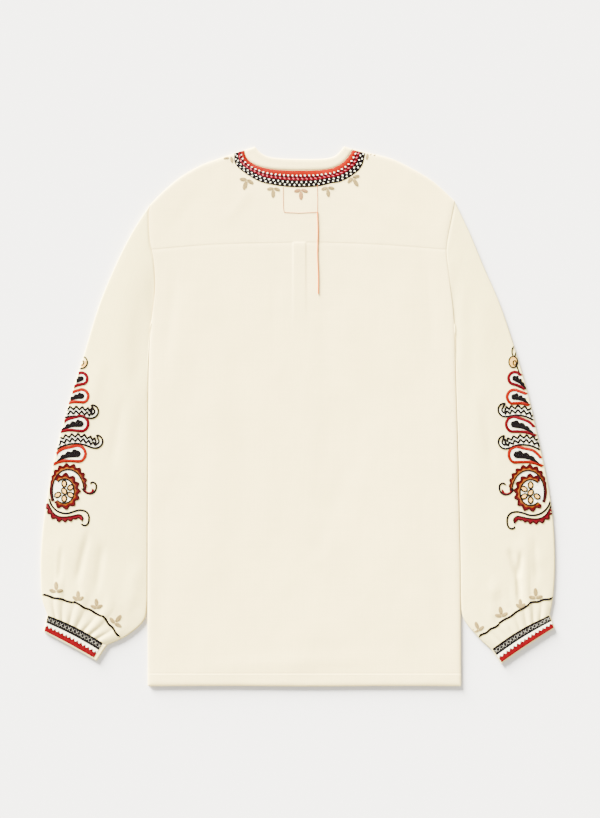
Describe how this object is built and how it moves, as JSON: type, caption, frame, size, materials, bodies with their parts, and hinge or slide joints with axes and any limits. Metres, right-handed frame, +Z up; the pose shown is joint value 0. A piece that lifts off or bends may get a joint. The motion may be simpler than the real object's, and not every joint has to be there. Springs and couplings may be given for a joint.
{
  "type": "embroidered blouse",
  "caption": "Long-sleeved collarless blouse lying flat with its back upwards, with a yoke, a box pleat, gathered sleeves and narrow cuffs.",
  "frame": {"origin": "middle of the blouse's outline, on the plane that it lies on", "axes": "+Y towards the neck, +Z up from the surface, out of the blouse's back; the wearer's left sleeve is at -X"},
  "size_m": [0.7964, 0.836, 0.0068],
  "materials": {
    "cream_linen": "matt plain weave",
    "cream_linen_front": "matt plain weave, turned to the surface it lies on"
  },
  "bodies": {
    "root": {"front": "cream_linen_front", "back": "cream_linen", "yoke": "cream_linen", "neck_band_back": "cream_linen", "neck_band_front_left": "cream_linen", "neck_band_front_right": "cream_linen", "sleeve_left": "cream_linen", "sleeve_right": "cream_linen", "cuff_left": "cream_linen", "cuff_right": "cream_linen"}
  },
  "joints": []
}
